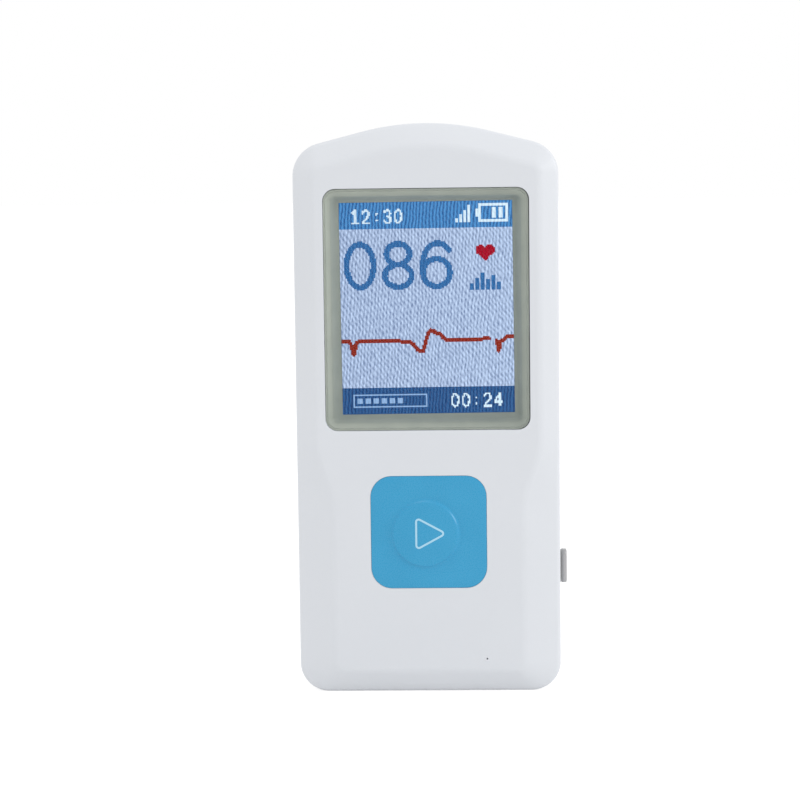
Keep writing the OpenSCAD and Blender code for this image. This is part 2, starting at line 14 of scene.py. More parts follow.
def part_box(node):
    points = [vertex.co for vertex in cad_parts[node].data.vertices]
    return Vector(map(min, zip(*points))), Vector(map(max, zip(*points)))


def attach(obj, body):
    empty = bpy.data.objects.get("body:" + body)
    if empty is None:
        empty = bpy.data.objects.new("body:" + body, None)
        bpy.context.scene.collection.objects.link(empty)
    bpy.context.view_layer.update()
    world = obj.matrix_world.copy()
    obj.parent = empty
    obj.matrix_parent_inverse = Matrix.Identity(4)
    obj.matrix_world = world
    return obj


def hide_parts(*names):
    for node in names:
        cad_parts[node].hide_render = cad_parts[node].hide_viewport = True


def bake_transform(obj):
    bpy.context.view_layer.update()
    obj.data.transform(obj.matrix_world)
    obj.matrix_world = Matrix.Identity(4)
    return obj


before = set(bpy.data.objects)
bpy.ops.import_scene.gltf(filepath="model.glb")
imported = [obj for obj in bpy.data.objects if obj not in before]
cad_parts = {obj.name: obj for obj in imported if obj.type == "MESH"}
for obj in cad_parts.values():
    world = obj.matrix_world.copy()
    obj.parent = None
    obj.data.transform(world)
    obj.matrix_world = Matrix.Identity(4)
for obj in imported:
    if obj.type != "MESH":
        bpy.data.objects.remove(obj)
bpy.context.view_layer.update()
scene = bpy.context.scene
MM = 0.001


# ---------------- sizes

def node_box(node):
    """Lowest and highest corner of a CAD node, in millimetres."""
    low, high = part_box(node)
    return low / MM, high / MM


def middle(node):
    low, high = node_box(node)
    return (low + high) / 2


# The case, as in the CAD source
front_low, front_high = node_box("front_cover")
rear_low, rear_high = node_box("rear_cover")
CASE_W = front_high.x - front_low.x
CASE_H = front_high.z - front_low.z
FACE_Y = front_low.y
BACK_Y = rear_high.y
SEAM_Y = front_high.y
TONGUE_L = SEAM_Y - rear_low.y
WALL = 1.6
ARCH_R = 42.4
SHOULDER = math.radians(14.3)
TOP_CORNER_R = 5.5
BOTTOM_CORNER_R = 4.8
BACK_EDGE_R = 3.2
SEAM_GROOVE = 0.2
SEAM_GROOVE_L = 0.25
TONGUE_OUT = 0.9
TONGUE_GAP = 0.05
INNER_FACE_Y = FACE_Y + WALL
INNER_BACK_Y = BACK_Y - WALL

# The face and its bevel
BEVEL_DROP = 1.9
FACE_HIGH_W = 37.2
FACE_LOW_W = 31.4
END_BEVEL = 3.7
WAIST_LOW_Z = 31.2
WAIST_HIGH_Z = 42.7
FACE_FOOT_R = 1.5
FACE_HEAD_R = 1.3
EASE = 0.7
EDGE_R = 1

# The window and what lies behind it
lens_low, lens_high = node_box("window_lens")
WINDOW_W = lens_high.x - lens_low.x
WINDOW_H = lens_high.z - lens_low.z
WINDOW_Z = (lens_low.z + lens_high.z) / 2
WINDOW_R = 2
WINDOW_GAP = 0.06
WINDOW_RIM = 0.08
# How much wider the opening is than the pane, on the right and at the top
WINDOW_SLACK = (0.08, 0.04)
mask_low, mask_high = node_box("display_mask")
GLASS_Y = mask_high.y
PICTURE_W = 28.38
PICTURE_H = 34.88
PICTURE_AT = (0.07, WINDOW_Z + 0.2)
PICTURE_GAP = 0.03
PICTURE_TURN = math.radians(0.38)

# The start key
film_low, film_high = node_box("key_film")
dome_low, dome_high = node_box("key_dome")
FILM_W = film_high.x - film_low.x
FILM_H = film_high.z - film_low.z
FILM_R = 3.45
FILM_GAP = 0.04
FILM_RIM = 0.05
FILM_BACK_Y = film_high.y
FILM_Z = (film_low.z + film_high.z) / 2
KEY_AT = ((dome_low.x + dome_high.x) / 2, (dome_low.z + dome_high.z) / 2)
DOME_R = (dome_high.x - dome_low.x) / 2
DOME_RISE = film_low.y - dome_low.y
DOME_RIM = 0.46
DOME_CROWN_R = DOME_R - DOME_RIM
RIM_RISE = 0.28
POCKET_R = DOME_R + 0.3
POCKET_FLOOR_Y = -6.3
BORE_R = 3.6
COLLAR_R = 5
COLLAR_L = 1.2

# The side button
BUTTON_SIZE = (2.8, 5.55)
BUTTON_R = 0.9
BUTTON_GAP = 0.1
SLOT_RIM = 0.12
BUTTON_AT = tuple(middle("side_button"))[1:]

# Holes and posts
SOUND_AT = (9.48, 5.8)
SOUND_R = 0.15
SOUND_RIM = 0.03
CASE_SCREWS = [(side * x, z) for x, z in ((15.2, CASE_H - 7.1), (16.8, 6)) for side in (-1, 1)]
BOARD_SCREWS = [(-13.2, 35.5), (13.2, 35.5), (-12.5, 12.5)]
BOARD_Y = node_box("main_board")[0].y
PILOT_R = 1
CLEAR_R = 1.15
POST_R = 1.9
REAR_POST_R = 3
SINK_R = 2.05
SINK_FLOOR_Y = 4
SINK_RIM = 0.2
SOCKET_AT = (-8, middle("charging_socket").y)
SOCKET_SLOT = (8.4, 3.3, 1.3)
SOCKET_RIM = 0.15
STUD_SPREAD = 8
STUD_R = 1.2
PLATE_R = 3
PLATE_T = 0.8
PLATE_GAP = 0.12
PLATE_RIM = 0.15
PLATE_ROUND_R = 0.2
STRIP_R = 1.2
STRIP_T = 0.7
STRIP_GAP = 0.1
STRIP_RIM = 0.12
STRIP_ROUND_R = 0.15
STRIP_STUD_R = 0.8
STRIP_AT = tuple(middle("side_electrode"))[1:]

# How far a cutter runs on past what it cuts
PAST = 1


# ---------------- camera

AIM = Vector((-4.495, -7.5, 49.147))
DISTANCE = 400
ELEVATION = math.radians(6.2)
AZIMUTH = math.radians(1.788)
ROLL = math.radians(-0.708)
LENS = 109.6

camera = bpy.data.objects.new("camera", bpy.data.cameras.new("camera"))
scene.collection.objects.link(camera)
scene.camera = camera
camera.data.lens = LENS
camera.data.sensor_width = 36
camera.data.clip_start = 0.01
camera.data.clip_end = 20
backward = Vector((
    math.sin(AZIMUTH) * math.cos(ELEVATION),
    -math.cos(AZIMUTH) * math.cos(ELEVATION),
    math.sin(ELEVATION),
))
level = (-backward).cross(Vector((0, 0, 1))).normalized()
upright = backward.cross(level)
right = level * math.cos(ROLL) + upright * math.sin(ROLL)
up = upright * math.cos(ROLL) - level * math.sin(ROLL)
camera.matrix_world = Matrix.Translation((AIM + backward * DISTANCE) * MM) @ Matrix(
    (right, up, backward)
).transposed().to_4x4()


# ---------------- outlines

def shares(count, last=False):
    """Even shares of 1 from 0, with 1 itself only where last is set."""
    return [k / count for k in range(count + last)]


def smooth(t):
    t = min(max(t, 0), 1)
    return t * t * (3 - 2 * t)


def arc(centre, r, first, last, count, end=False):
    """Points on a circle from one angle to another, in degrees."""
    angles = [math.radians(first + (last - first) * t) for t in shares(count, end)]
    return [(centre[0] + r * math.cos(a), centre[1] + r * math.sin(a)) for a in angles]


def line(start, end, count):
    return [(start[0] + (end[0] - start[0]) * t, start[1] + (end[1] - start[1]) * t)
            for t in shares(count)]


def right_half(low, high, foot_z, foot_r, head_r, top_r):
    """Right half of an outline in x and z, from the bottom middle to the top middle: a flat foot,
    a corner, the side with its waist, a corner, a straight shoulder and half of the arch."""
    arch_z = CASE_H - ARCH_R
    joint = (top_r * math.sin(SHOULDER), arch_z + top_r * math.cos(SHOULDER))
    head_x = high - head_r
    head_z = joint[1] - math.tan(SHOULDER) * (head_x - joint[0]) - head_r / math.cos(SHOULDER)
    side_z = foot_z + foot_r
    bend_z, open_z = WAIST_LOW_Z - 1, WAIST_HIGH_Z + 1
    turn = 90 - math.degrees(SHOULDER)
    corner = arc((head_x, head_z), head_r, 0, turn, 20, True)
    waist = []
    for t in shares(48):
        z = bend_z + (open_z - bend_z) * t
        widening = smooth((z - WAIST_LOW_Z) / (WAIST_HIGH_Z - WAIST_LOW_Z))
        waist.append((low + (high - low) * widening, z))
    return (
        line((0, foot_z), (low - foot_r, foot_z), 8)
        + arc((low - foot_r, side_z), foot_r, -90, 0, 18)
        + line((low, side_z), (low, bend_z), 10)
        + waist
        + line((high, open_z), (high, head_z), 12)
        + corner[:-1]
        + line(corner[-1], joint, 5)
        + arc((0, arch_z), top_r, turn, 90, 24, True)
    )


def closed(half):
    """The whole outline, with the right half mirrored back down the left side."""
    return half + [(-x, z) for x, z in half[-2:0:-1]]


def case_outline(inset):
    half = CASE_W / 2 - inset
    return closed(right_half(
        half, half, inset, BOTTOM_CORNER_R - inset, TOP_CORNER_R - inset, ARCH_R - inset
    ))


def face_outline(inset):
    return closed(right_half(
        FACE_LOW_W / 2 - inset, FACE_HIGH_W / 2 - inset, END_BEVEL + inset,
        FACE_FOOT_R, FACE_HEAD_R, ARCH_R - END_BEVEL - inset,
    ))


def rounded_rect(w, h, r, at=(0, 0), count=10):
    """A rectangle with round corners, with the same number of points whatever its size."""
    x, y, (ax, ay) = w / 2 - r, h / 2 - r, at
    corners = [(ax + x, ay + y), (ax - x, ay + y), (ax - x, ay - y), (ax + x, ay - y)]
    return [p for k, c in enumerate(corners) for p in arc(c, r, 90 * k, 90 * k + 90, count, True)]


def circle(r, at=(0, 0), count=48):
    return arc(at, r, 0, 360, count)


# ---------------- solids

def facing_front(outline, y):
    return [(u, y, v) for u, v in outline]


def facing_side(outline, x):
    return [(x, u, v) for u, v in outline]


def facing_end(outline, z):
    return [(u, v, z) for u, v in outline]


def skin(rings, ends=True):
    """A solid skinned over rings of equal length: closed by its end rings, or else back to its first."""
    n, last = len(rings[0]), len(rings)
    faces = [
        (k * n + i, k * n + (i + 1) % n, (k + 1) % last * n + (i + 1) % n, (k + 1) % last * n + i)
        for k in range(last - ends) for i in range(n)
    ]
    if ends:
        faces += [tuple(range(n)), tuple(range((last - 1) * n, last * n))]
    return [p for ring in rings for p in ring], faces


def prism(lay, outline, start, end):
    return skin([lay(outline, start), lay(outline, end)])


def rod(at, r, y0, y1, count=48):
    return prism(facing_front, circle(r, at, count), y0, y1)


def solid(name, *skins):
    """A new object from closed skins, in metres."""
    vertices, faces = [], []
    for points, corners in skins:
        start = len(vertices)
        vertices += [Vector(p) * MM for p in points]
        faces += [[start + i for i in face] for face in corners]
    mesh = bpy.data.meshes.new(name)
    mesh.from_pydata(vertices, [], faces)
    work = bmesh.new()
    work.from_mesh(mesh)
    bmesh.ops.recalc_face_normals(work, faces=work.faces)
    work.to_mesh(mesh)
    work.free()
    piece = bpy.data.objects.new(name, mesh)
    scene.collection.objects.link(piece)
    return piece


def carve(piece, *steps):
    """Unites helper solids with a piece or subtracts them from it: each step is (operation, skins)."""
    helpers = []
    for operation, skins in steps:
        helper = solid("helper", *skins)
        helpers.append(helper)
        modifier = piece.modifiers.new("carve", "BOOLEAN")
        modifier.operation = operation
        modifier.object = helper
        modifier.solver = "EXACT"
    shaped = piece.evaluated_get(bpy.context.evaluated_depsgraph_get())
    mesh = bpy.data.meshes.new_from_object(shaped)
    piece.modifiers.clear()
    piece.data = mesh
    for helper in helpers:
        bpy.data.objects.remove(helper)
    return piece


def shade(piece, angle=35):
    """Smooth shading, apart from edges sharper than an angle."""
    piece.data.shade_smooth()
    piece.data.set_sharp_from_angle(angle=math.radians(angle))
    return piece


def dress(piece, *materials):
    piece.data.materials.clear()
    for material in materials:
        piece.data.materials.append(material)
    return piece


def rounded_edge(shape, lay, end, out, r, count=6):
    """Rings where a side wall rounds into an end face at the depth end; shape(grow) is the outline."""
    return [
        lay(shape(-r * (1 - math.cos(math.radians(a)))), end - out * r * (1 - math.sin(math.radians(a))))
        for a in [90 * t for t in shares(count, True)]
    ]


def mouth(shape, lay, floor, face, out, r, count=6):
    """A cutter that opens at a flat face with a rounded rim; shape(grow) is the opening's outline."""
    flare, steepest = 0.3, 75
    rings = [lay(shape(0), floor)]
    for t in shares(count, True):
        a = math.radians(steepest * t)
        rings.append(lay(shape(r * (1 - math.cos(a))), face - out * r * (1 - math.sin(a))))
    rings.append(lay(shape(r + flare), face + out * flare))
    return skin(rings)


# ---------------- material nodes

def rgb(red, green, blue):
    """A colour as a screen shows it, 0 to 255, in the linear values that a shader takes."""
    def linear(c):
        c /= 255
        return c / 12.92 if c <= 0.04045 else ((c + 0.055) / 1.055) ** 2.4
    return (linear(red), linear(green), linear(blue), 1)


def add(tree, kind, inputs=None, **settings):
    """A new shader node with its settings and its inputs, which are values or other nodes' outputs."""
    node = tree.nodes.new("ShaderNode" + kind)
    for key, value in settings.items():
        setattr(node, key, value)
    for key, value in (inputs or {}).items():
        if isinstance(value, bpy.types.NodeSocket):
            tree.links.new(value, node.inputs[key])
        else:
            node.inputs[key].default_value = value
    return node


def place(tree, stretch=(1, 1, 1)):
    """Places on the piece in millimetres, drawn out along the axes whose stretch is above 1."""
    coordinates = add(tree, "TexCoord").outputs["Object"]
    scale = tuple(1 / MM / s for s in stretch)
    return add(tree, "VectorMath", {0: coordinates, 1: scale}, operation="MULTIPLY").outputs[0]


def noise(tree, size, detail=2, stretch=(1, 1, 1)):
    """Noise whose lumps are about size millimetres across."""
    inputs = {"Vector": place(tree, stretch), "Scale": 1 / size, "Detail": detail}
    return add(tree, "TexNoise", inputs).outputs["Fac"]


def remap(tree, value, low, high, new_low, new_high):
    inputs = {"Value": value, "From Min": low, "From Max": high,
              "To Min": new_low, "To Max": new_high}
    return add(tree, "MapRange", inputs).outputs["Result"]


def vary(tree, value, new_low, new_high):
    """Noise, which lies between about 0.3 and 0.7, spread from a new low to a new high."""
    return remap(tree, value, 0.3, 0.7, new_low, new_high)


def texture(tree, shader, fine, low, high, lift):
    """Makes roughness vary from low to high, and raises a relief by up to lift millimetres."""
    tree.links.new(vary(tree, fine, low, high), shader.inputs["Roughness"])
    relief = add(tree, "Bump", {"Height": fine, "Distance": lift * MM})
    tree.links.new(relief.outputs[0], shader.inputs["Normal"])


def mix(tree, share, first, second):
    return add(tree, "Mix", {0: share, 6: first, 7: second}, data_type="RGBA").outputs[2]


def calculate(tree, operation, *values):
    return add(tree, "Math", dict(enumerate(values)), operation=operation).outputs[0]


def tint(colour, *factors):
    """A colour made lighter or darker, by one factor or by one for each of red, green and blue."""
    if len(factors) == 1:
        factors *= 3
    return tuple(c * f for c, f in zip(colour, factors)) + (1,)


def new_material(name):
    material = bpy.data.materials.new(name)
    material.use_nodes = True
    return material, material.node_tree, material.node_tree.nodes["Principled BSDF"]


def finish(name, colour, roughness, metallic=0.0, mottle=0.02, mottle_size=7.0, spread=0.05,
           grain=0.3, lift=0.004, stretch=(1, 1, 1)):
    """A moulded, sprayed or rolled surface. Its colour and roughness vary from place to place, and
    a grain of a size in millimetres lifts it by some thousandths of a millimetre."""
    material, tree, shader = new_material(name)
    shader.inputs["Metallic"].default_value = metallic
    patches = vary(tree, noise(tree, mottle_size, 3, stretch), 0, 1)
    colours = mix(tree, patches, tint(colour, 1 - mottle), tint(colour, 1 + mottle))
    tree.links.new(colours, shader.inputs["Base Color"])
    texture(tree, shader, noise(tree, grain, 3, stretch), roughness - spread, roughness + spread, lift)
    return material


# ---------------- materials

white_plastic = finish(
    "white_plastic", rgb(227, 230, 235), 0.36, mottle=0.006, mottle_size=14, grain=0.25, lift=0.002,
)
inner_plastic = finish("inner_plastic", rgb(236, 236, 232), 0.5, mottle=0.02, grain=0.3)
black_plastic = finish("black_plastic", rgb(38, 38, 41), 0.45, mottle=0.12, mottle_size=3, grain=0.12)
chip_epoxy = finish("chip_epoxy", rgb(36, 37, 40), 0.6, mottle=0.2, mottle_size=1.2, grain=0.08,
                    lift=0.008)
foam_rubber = finish("foam_rubber", rgb(48, 48, 50), 0.9, mottle=0.3, mottle_size=0.6, grain=0.25,
                     lift=0.05)
flex_amber = finish("flex_amber", rgb(178, 112, 40), 0.35, mottle=0.15, mottle_size=0.8,
                    stretch=(1, 1, 12))
ceramic = finish("ceramic", rgb(150, 124, 98), 0.55, mottle=0.2, mottle_size=0.9, grain=0.1)
ivory_nylon = finish("ivory_nylon", rgb(228, 220, 200), 0.45, mottle=0.03, mottle_size=2)
lead_red = finish("lead_red", rgb(170, 30, 26), 0.4, mottle=0.06, mottle_size=1.5, grain=0.2)
steel_brushed, steel_strip = (
    finish(name, rgb(200, 200, 202), 0.3, metallic=1.0, mottle=0.05, mottle_size=0.5,
           spread=0.09, grain=0.06, lift=0.0012, stretch=stretch)
    for name, stretch in (("steel_brushed", (60, 1, 1)), ("steel_strip", (1, 1, 60)))
)
steel_plain = finish(
    "steel_plain", rgb(190, 190, 192), 0.28, metallic=1.0, mottle=0.06, mottle_size=1.5,
    spread=0.08, grain=0.1, lift=0.001,
)
screw_steel = finish(
    "screw_steel", rgb(176, 176, 178), 0.32, metallic=1.0, mottle=0.1, mottle_size=0.7,
    spread=0.1, grain=0.1, lift=0.002,
)
button_metal = finish(
    "button_metal", rgb(176, 176, 177), 0.38, metallic=0.6, mottle=0.04, mottle_size=1.0,
    spread=0.06, grain=0.08, lift=0.002, stretch=(1, 1, 20),
)
brass = finish("brass", rgb(214, 182, 112), 0.3, metallic=1.0, mottle=0.08, mottle_size=1.0, grain=0.1)
pouch_foil = finish("pouch_foil", rgb(190, 192, 196), 0.34, metallic=0.9, mottle_size=3, mottle=0.05,
                    grain=1.6, lift=0.05)
display_polariser = finish("display_polariser", rgb(60, 64, 70), 0.18, mottle=0.05, mottle_size=4,
                           grain=0.2)


def board_material():
    """Green solder mask over fine copper lines, with small bare pads."""
    material, tree, shader = new_material("board_green")
    grid = add(tree, "TexBrick", {"Vector": place(tree), "Scale": 1.0, "Mortar Size": 0.06,
                                  "Brick Width": 2.6, "Row Height": 0.55,
                                  "Color1": rgb(26, 104, 58), "Color2": rgb(22, 92, 52),
                                  "Mortar": rgb(52, 138, 84)}, offset=0.37)
    spots = add(tree, "TexVoronoi", {"Vector": place(tree), "Scale": 0.45})
    bare = remap(tree, spots.outputs["Distance"], 0.1, 0.13, 1, 0)
    colours = mix(tree, bare, grid.outputs["Color"], rgb(206, 190, 140))
    tree.links.new(colours, shader.inputs["Base Color"])
    tree.links.new(bare, shader.inputs["Metallic"])
    tree.links.new(vary(tree, noise(tree, 0.8), 0.3, 0.42), shader.inputs["Roughness"])
    relief = add(tree, "Bump", {"Height": grid.outputs["Fac"], "Distance": 0.02 * MM})
    tree.links.new(relief.outputs[0], shader.inputs["Normal"])
    return material


def film_material():
    """Sky-blue film printed on its back: an even colour under a fine satin texture."""
    material, tree, shader = new_material("film_blue")
    soft = vary(tree, noise(tree, 6, 3), 0, 1)
    colours = mix(tree, soft, rgb(46, 159, 206), rgb(51, 163, 210))
    tree.links.new(colours, shader.inputs["Base Color"])
    texture(tree, shader, noise(tree, 0.16, 3), 0.24, 0.32, lift=0.0025)
    return material


def mask_material():
    """Grey-green border with painted shade: it darkens towards the display, where it lies deepest in its
    recess, and a little towards the right and the foot, where less light falls."""
    material, tree, shader = new_material("mask_grey")
    across, depth, height = add(tree, "SeparateXYZ", {0: place(tree)}).outputs
    # painted shade: darker where the border lies deeper in the recess
    deep = remap(tree, depth, lens_low.y, GLASS_Y, 0, 1)
    # painted shading: darker towards the right and the foot, lighter towards the left and the top
    side = remap(tree, across, -WINDOW_W / 2, WINDOW_W / 2, -0.1, 0.17)
    level = remap(tree, height, lens_low.z, lens_high.z, 0.1, -0.15)
    cloud = vary(tree, noise(tree, 2.5, 3), -0.1, 0.1)
    painted_shade_share = calculate(tree, "ADD", calculate(tree, "ADD", deep, cloud),
                            calculate(tree, "ADD", side, level))
    # painted shade: the darker of the two colours stands in for the shade in the recess
    painted_shade_colours = mix(tree, painted_shade_share, rgb(183, 186, 176), rgb(142, 148, 142))
    tree.links.new(painted_shade_colours, shader.inputs["Base Color"])
    texture(tree, shader, noise(tree, 0.12, 2), 0.5, 0.62, lift=0.004)
    return material


def lens_material():
    """Clear pane with an anti-glare coat: it lets the light through and shines a little outside."""
    material, tree, shader = new_material("window_clear")
    tree.nodes.remove(shader)
    clear = add(tree, "BsdfTransparent", {"Color": (0.98, 0.99, 0.985, 1)})
    fine = noise(tree, 12, 2)
    shine = add(tree, "BsdfGlossy", {"Color": (1, 1, 1, 1),
                                     "Roughness": vary(tree, fine, 0.02, 0.06)})
    facing = add(tree, "Fresnel", {"IOR": 1.2})
    outside = calculate(tree, "SUBTRACT", 1.0, add(tree, "NewGeometry").outputs["Backfacing"])
    share = calculate(tree, "MULTIPLY", facing.outputs[0], outside)
    both = add(tree, "MixShader", {0: share, 1: clear.outputs[0], 2: shine.outputs[0]})
    tree.links.new(both.outputs[0], tree.nodes["Material Output"].inputs["Surface"])
    return material


def ripple(tree, across, upward, wander):
    """A wave over the face with so many crests to the millimetre, across and upward. Its crests
    wander from their places by up to so many millimetres."""
    turn = 2 * math.pi
    shift = vary(tree, noise(tree, 2.2, 3), -wander, wander)
    spot = add(tree, "VectorMath", {0: place(tree), 1: shift}, operation="ADD").outputs[0]
    along = add(tree, "VectorMath", {0: spot, 1: (turn * across, 0, turn * upward)},
                operation="DOT_PRODUCT")
    return calculate(tree, "SINE", along.outputs["Value"])


# The lines in the picture: their crests to the millimetre, and the colour's share in the dark and
# in the bright of them
UPRIGHT_LINES = (1.8, -0.12)
SLANTED_LINES = (1.24, 0.88)
WANDER = 0.14
DARK_SHARE = (0.44, 0.48, 0.58)
BRIGHT_SHARE = (1.56, 1.52, 1.42)


def lit_material(name, colour, upright_share, slanted_share, streak_share):
    """A lit part of the picture, a little brighter towards the right. Fine upright and slanted
    lines run through it, as they do where the display's pixel rows beat against each other, and
    uneven streaks besides."""
    material, tree, shader = new_material(name)
    upright_lines = calculate(tree, "MULTIPLY", ripple(tree, *UPRIGHT_LINES, WANDER), upright_share)
    slanted_lines = calculate(tree, "MULTIPLY", ripple(tree, *SLANTED_LINES, WANDER), slanted_share)
    streaks = vary(tree, noise(tree, 0.17, 2, (1, 1, 3)), -streak_share, streak_share)
    across = add(tree, "SeparateXYZ", {0: place(tree)}).outputs[0]
    side = remap(tree, across, -PICTURE_W / 2, PICTURE_W / 2, 0.46, 0.54)
    lines = calculate(tree, "ADD", upright_lines, slanted_lines)
    level = calculate(tree, "ADD", calculate(tree, "ADD", lines, streaks), side)
    colours = mix(tree, level, tint(colour, *DARK_SHARE), tint(colour, *BRIGHT_SHARE))
    tree.links.new(colours, shader.inputs["Emission Color"])
    shader.inputs["Emission Strength"].default_value = 1
    shader.inputs["Base Color"].default_value = (0.002, 0.002, 0.002, 1)
    shader.inputs["Specular IOR Level"].default_value = 0.03
    tree.links.new(vary(tree, noise(tree, 0.3, 2), 0.28, 0.36), shader.inputs["Roughness"])
    return material


film_blue = film_material()
mask_grey = mask_material()
window_clear = lens_material()
board_green = board_material()
mark_pale = finish("mark_pale", rgb(176, 222, 244), 0.4, mottle=0.01, mottle_size=2, grain=0.1)


# ---------------- case

case_line = case_outline(0)
face_line = face_outline(0)


def bevel_ring(height):
    """A ring on the bevel: height gives, for the bevel's width, how far out and how deep a point is."""
    ring = []
    for (fx, fz), (cx, cz) in zip(face_line, case_line):
        run = math.hypot(cx - fx, cz - fz)
        out, y = height(run)
        ring.append((fx + (cx - fx) / run * out, y, fz + (cz - fz) / run * out))
    return ring


def ease_ring(out):
    """Where the flat face eases into the bevel; out runs from -EASE to EASE."""
    return bevel_ring(lambda run: (out, FACE_Y + BEVEL_DROP / run * (out + EASE) ** 2 / (4 * EASE)))


def edge_ring(t):
    """Where the bevel rounds into the side wall; t is 1 on the bevel and 0 on the wall."""
    def height(run):
        slope = math.atan(BEVEL_DROP / run)
        flat = run - EDGE_R
        centre_y = FACE_Y + math.tan(slope) * flat + EDGE_R / math.cos(slope)
        a = (math.pi / 2 - slope) * t
        return flat + EDGE_R * math.cos(a), centre_y - EDGE_R * math.sin(a)
    return bevel_ring(height)


def back_ring(inset, r, degrees):
    """A ring on the rounding round the back, at an angle from the side wall."""
    a = math.radians(degrees)
    return facing_front(case_outline(inset + r * (1 - math.cos(a))),
                        BACK_Y - inset - r + r * math.sin(a))


def button_outline(grow):
    w, h = BUTTON_SIZE
    return rounded_rect(w + 2 * grow, h + 2 * grow, BUTTON_R + grow, BUTTON_AT)


def plate_outline(node, grow):
    low, high = node_box(node)
    return rounded_rect(high.x - low.x + 2 * grow, high.z - low.z + 2 * grow, PLATE_R + grow,
                        (0, middle(node).z))


def strip_outline(grow):
    low, high = node_box("side_electrode")
    return rounded_rect(high.y - low.y + 2 * grow, high.z - low.z + 2 * grow, STRIP_R + grow, STRIP_AT)


def socket_slot():
    w, h, r = SOCKET_SLOT
    return mouth(lambda g: rounded_rect(w + 2 * g, h + 2 * g, r + g, SOCKET_AT),
                 facing_end, WALL + PAST, 0, -1, SOCKET_RIM)


def make_front_cover():
    tongue_at = SEAM_Y - TONGUE_L - TONGUE_GAP
    inner_inset, inner_bevel, bite = 0.4, 1.3, 0.5
    root_y = INNER_FACE_Y - bite
    rebate = case_outline(TONGUE_OUT - TONGUE_GAP)
    shell = skin(
        [ease_ring(EASE * (2 * t - 1)) for t in shares(8, True)]
        + [edge_ring(1 - t) for t in shares(8, True)]
        + [
            facing_front(case_line, SEAM_Y - SEAM_GROOVE_L),
            facing_front(case_outline(SEAM_GROOVE), SEAM_Y),
            facing_front(rebate, SEAM_Y),
            facing_front(rebate, tongue_at),
            facing_front(case_outline(WALL), tongue_at),
            facing_front(case_outline(WALL), INNER_FACE_Y + inner_bevel),
            facing_front(face_outline(inner_inset), INNER_FACE_Y),
        ]
    )
    posts = [rod(at, POST_R, root_y, SEAM_Y) for at in CASE_SCREWS]
    posts += [rod(at, POST_R, root_y, BOARD_Y) for at in BOARD_SCREWS]
    posts.append(rod(KEY_AT, COLLAR_R, root_y, INNER_FACE_Y + COLLAR_L))
    wider, higher = WINDOW_SLACK
    window = mouth(
        lambda g: rounded_rect(
            WINDOW_W + 2 * (WINDOW_GAP + g) + wider, WINDOW_H + 2 * (WINDOW_GAP + g) + higher,
            WINDOW_R + WINDOW_GAP + g, (wider / 2, WINDOW_Z + higher / 2)),
        facing_front, INNER_FACE_Y + PAST, FACE_Y, -1, WINDOW_RIM,
    )
    film = mouth(
        lambda g: rounded_rect(FILM_W + 2 * (FILM_GAP + g), FILM_H + 2 * (FILM_GAP + g),
                               FILM_R + FILM_GAP + g, (0, FILM_Z)),
        facing_front, FILM_BACK_Y, FACE_Y, -1, FILM_RIM,
    )
    sound = mouth(lambda g: circle(SOUND_R + g, SOUND_AT, 32),
                  facing_front, INNER_FACE_Y + PAST, FACE_Y, -1, SOUND_RIM)
    slot = mouth(lambda g: button_outline(BUTTON_GAP + g),
                 facing_side, CASE_W / 2 - WALL - PAST, CASE_W / 2, 1, SLOT_RIM)
    pilot_floor_y = INNER_FACE_Y + 0.4
    pilots = [rod(at, PILOT_R, pilot_floor_y, SEAM_Y + PAST) for at in CASE_SCREWS]
    pilots += [rod(at, PILOT_R, pilot_floor_y, BOARD_Y + PAST) for at in BOARD_SCREWS]
    pocket = rod(KEY_AT, POCKET_R, FILM_BACK_Y - 0.1, POCKET_FLOOR_Y)
    bore = rod(KEY_AT, BORE_R, POCKET_FLOOR_Y - 0.1, INNER_FACE_Y + COLLAR_L + PAST)
    return carve(
        solid("front_shell", shell),
        ("UNION", posts),
        ("DIFFERENCE", [window]),
        ("DIFFERENCE", [film]),
        ("DIFFERENCE", [sound]),
        ("DIFFERENCE", [pocket]),
        ("DIFFERENCE", [bore]),
        ("DIFFERENCE", [slot]),
        ("DIFFERENCE", [socket_slot()]),
        ("DIFFERENCE", pilots),
    )


